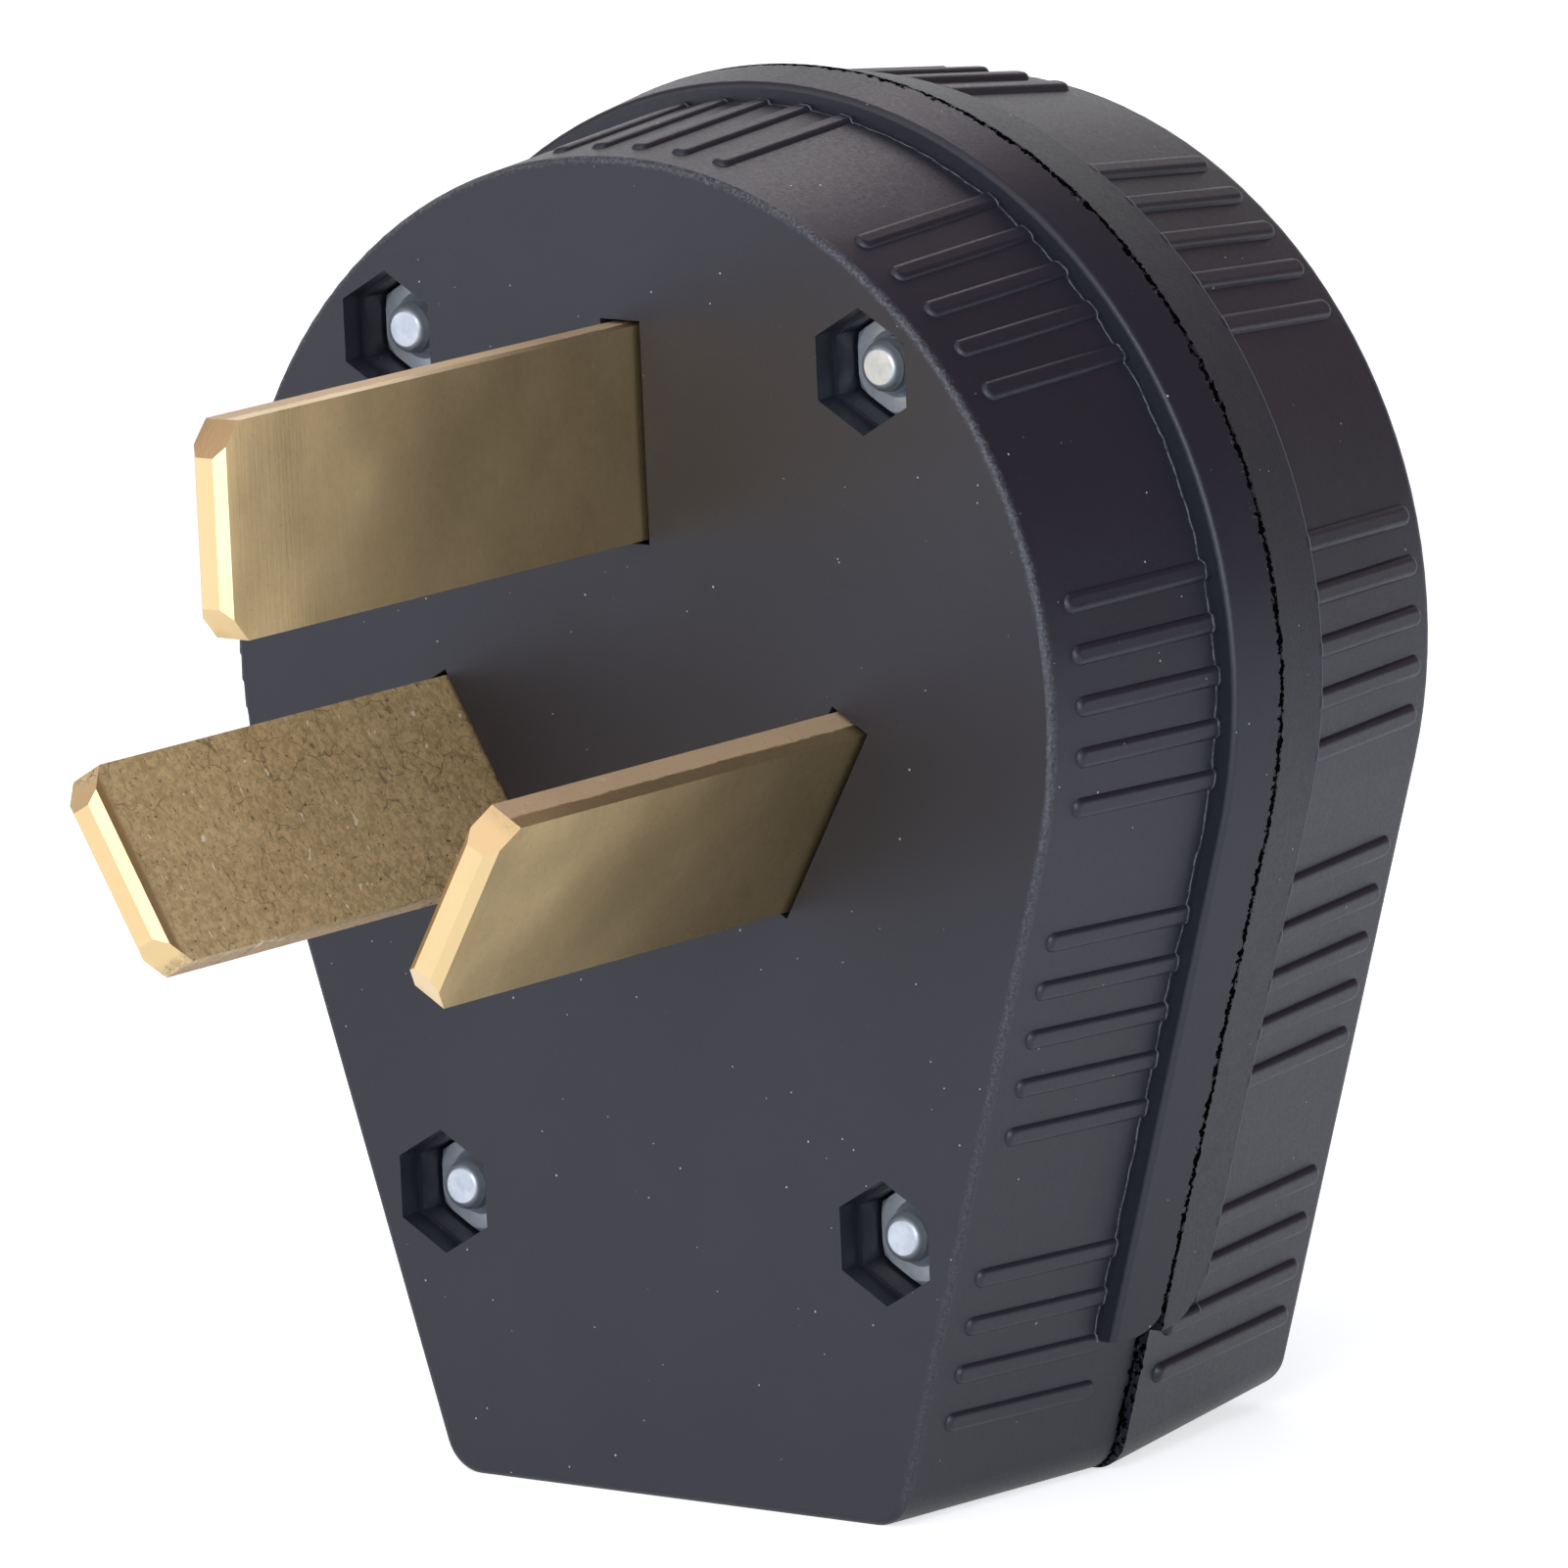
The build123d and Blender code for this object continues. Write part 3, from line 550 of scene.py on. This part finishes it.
    swayBump = addNode(tree, "Bump", {}, {
        "Height": sway.outputs["Fac"], "Distance": look["swayDepth"] * mm, "Strength": 1.0})
    lineBump = addNode(tree, "Bump", {}, {
        "Height": lineDepth, "Distance": look["lineDepth"] * bladeLook["lines"] * mm, "Strength": 1.0,
        "Normal": swayBump})
    pitBump = addNode(tree, "Bump", {"invert": True}, {
        "Height": marks, "Distance": look["pitDepth"] * mm, "Strength": 1.0, "Normal": lineBump})
    tornBump = addNode(tree, "Bump", {}, {
        "Height": pitNoise.outputs["Fac"], "Distance": look["tornDepth"] * mm, "Strength": 0.5,
        "Normal": pitBump})
    rolled = addNode(tree, "Mix", {"data_type": "VECTOR"}, {0: torn, 4: pitBump, 5: tornBump})
    shader = addNode(tree, "BsdfPrincipled", {}, {
        "Base Color": glinting.outputs[2], "Metallic": metal, "Roughness": roughness,
        "Normal": rolled.outputs[1]})
    addNode(tree, "OutputMaterial", {}, {"Surface": shader})
    return material


# Zinc-plated steel, bright and faintly blue, with the soft clouding of the plating bath
zincFinish = {
    "color": "#d6dee4",
    "cloudColor": "#c2ccd4",
    "roughness": 0.34,
    "metal": 0.62,
    "cloudSize": 1.4,        # mm
    "cloudDepth": 0.01,      # mm
}


def zincPlate():
    look = zincFinish
    material, tree = newMaterial("bright zinc plate on steel")
    coords = addNode(tree, "TexCoord")
    place = addNode(tree, "VectorMath", {"operation": "SCALE"}, {
        0: coords.outputs["Object"], "Scale": 1 / mm})
    cloud = addNode(tree, "TexNoise", {}, {
        "Vector": place, "Scale": 1 / look["cloudSize"], "Detail": 4.0, "Roughness": 0.6})
    patch = addNode(tree, "MapRange", {}, {
        "Value": cloud.outputs["Fac"], "From Min": 0.4, "From Max": 0.65})
    color = addNode(tree, "Mix", {"data_type": "RGBA"}, {
        0: patch, 6: hexColor(look["color"]), 7: hexColor(look["cloudColor"])})
    roughness = addNode(tree, "Math", {"operation": "MULTIPLY_ADD"}, [patch, 0.10, look["roughness"]])
    bump = addNode(tree, "Bump", {}, {
        "Height": cloud.outputs["Fac"], "Distance": look["cloudDepth"] * mm, "Strength": 1.0})
    shader = addNode(tree, "BsdfPrincipled", {}, {
        "Base Color": color.outputs[2], "Metallic": look["metal"], "Roughness": roughness,
        "Normal": bump})
    addNode(tree, "OutputMaterial", {}, {"Surface": shader})
    return material


# Threaded bolt ends: the copy keeps the CAD heads and shanks, and gets rolled threads towards the tip
boltThread = {
    "radius": 2.0,           # mm, M4
    "pitch": 0.7,
    "depth": 0.38,
    "tip": 2.05,             # mm behind the face
    "flat": 1.28,            # radius of the flat end
    "ringOut": 0.06,         # the ring round the flat end stands out from the thread's root
    "ringDepth": 0.22,       # and ends this far behind the tip
    "chamfer": 0.40,         # start of the thread behind the tip
    "firstDrop": 0.12,       # the first crest is lower
    "length": 11.2,          # threaded stretch
    "runout": 0.3,           # from the last root to the plain shank
    "steps": 36,
    # one pitch as (crest or not, share of the pitch): a 60 degree thread, crest an eighth and root a quarter
    "turn": ((False, 0.0), (True, 0.3125), (True, 0.4375), (False, 0.75)),
}


def boltAxes(bm):
    # middles of the four bolts in the plane of the face, from the tips of the CAD shanks
    low = min(vertex.co.y for vertex in bm.verts)
    tips = [vertex.co for vertex in bm.verts if vertex.co.y < low + 0.02 * mm]
    axes = []
    for right in (False, True):
        for up in (False, True):
            group = [tip for tip in tips if (tip.x > 0) == right and (tip.z > 0) == up]
            middle = sum(group, Vector()) / len(group)
            axes.append((middle.x, middle.z))
    return axes


def threadProfile():
    # radius and depth along the axis, from the middle of the tip to the plain shank
    size = boltThread
    root = size["radius"] - size["depth"]
    turns = int(size["length"] / size["pitch"])
    points = [(0.0, size["tip"]), (size["flat"], size["tip"]),
              (root + size["ringOut"], size["tip"] + size["ringDepth"])]
    start = size["tip"] + size["chamfer"]
    for turn in range(turns):
        depth = start + turn * size["pitch"]
        crest = size["radius"] if turn else size["radius"] - size["firstDrop"]
        for isCrest, part in size["turn"]:
            points.append((crest if isCrest else root, depth + part * size["pitch"]))
    end = start + turns * size["pitch"]
    shank = end + size["runout"]
    return points + [(root, end), (size["radius"], shank), (0.0, shank)]


def threadedBolts():
    source = nodes["shell_bolts"]
    bm = bmesh.new()
    bm.from_mesh(source.data)
    bmesh.ops.remove_doubles(bm, verts=bm.verts, dist=0.002 * mm)
    axes = boltAxes(bm)
    profile = threadProfile()
    end = profile[-1][1] * mm
    cut = bmesh.ops.bisect_plane(
        bm, geom=bm.verts[:] + bm.edges[:] + bm.faces[:], plane_co=(0, end, 0), plane_no=(0, 1, 0),
        clear_inner=True)
    rim = [edge for edge in cut["geom_cut"] if isinstance(edge, bmesh.types.BMEdge)]
    bmesh.ops.holes_fill(bm, edges=rim)
    for x, z in axes:
        points = [bm.verts.new((x + radius * mm, depth * mm, z)) for radius, depth in profile]
        edges = [bm.edges.new(pair) for pair in zip(points, points[1:])]
        bmesh.ops.spin(bm, geom=points + edges, cent=(x, 0, z), axis=(0, 1, 0), angle=math.tau,
                       steps=boltThread["steps"], use_merge=True)
    bmesh.ops.remove_doubles(bm, verts=bm.verts, dist=0.001 * mm)
    bmesh.ops.recalc_face_normals(bm, faces=bm.faces)
    mesh = bpy.data.meshes.new("shell_bolts_threaded")
    bm.to_mesh(mesh)
    bm.free()
    mesh.shade_smooth()
    mesh.set_sharp_from_angle(angle=math.radians(32))
    piece = bpy.data.objects.new("shell_bolts_threaded", mesh)
    scene.collection.objects.link(piece)
    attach(piece, "root")
    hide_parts("shell_bolts")
    return piece


shellMaterial = mouldedShell()
zincMaterial = zincPlate()
for name, piece in nodes.items():
    if name.endswith("_shell"):
        dress(piece, shellMaterial)
    elif name in bladeLooks:
        dress(piece, rolledBrass(name, bladeLooks[name]))
    elif name == "clamp_inserts":
        # inside the shells and of turned brass: the plainest of the brass looks will do
        dress(piece, rolledBrass(name, bladeLooks["right_blade"]))
    else:
        dress(piece, zincMaterial)
dress(threadedBolts(), zincMaterial)
print("bolts threaded, materials set")
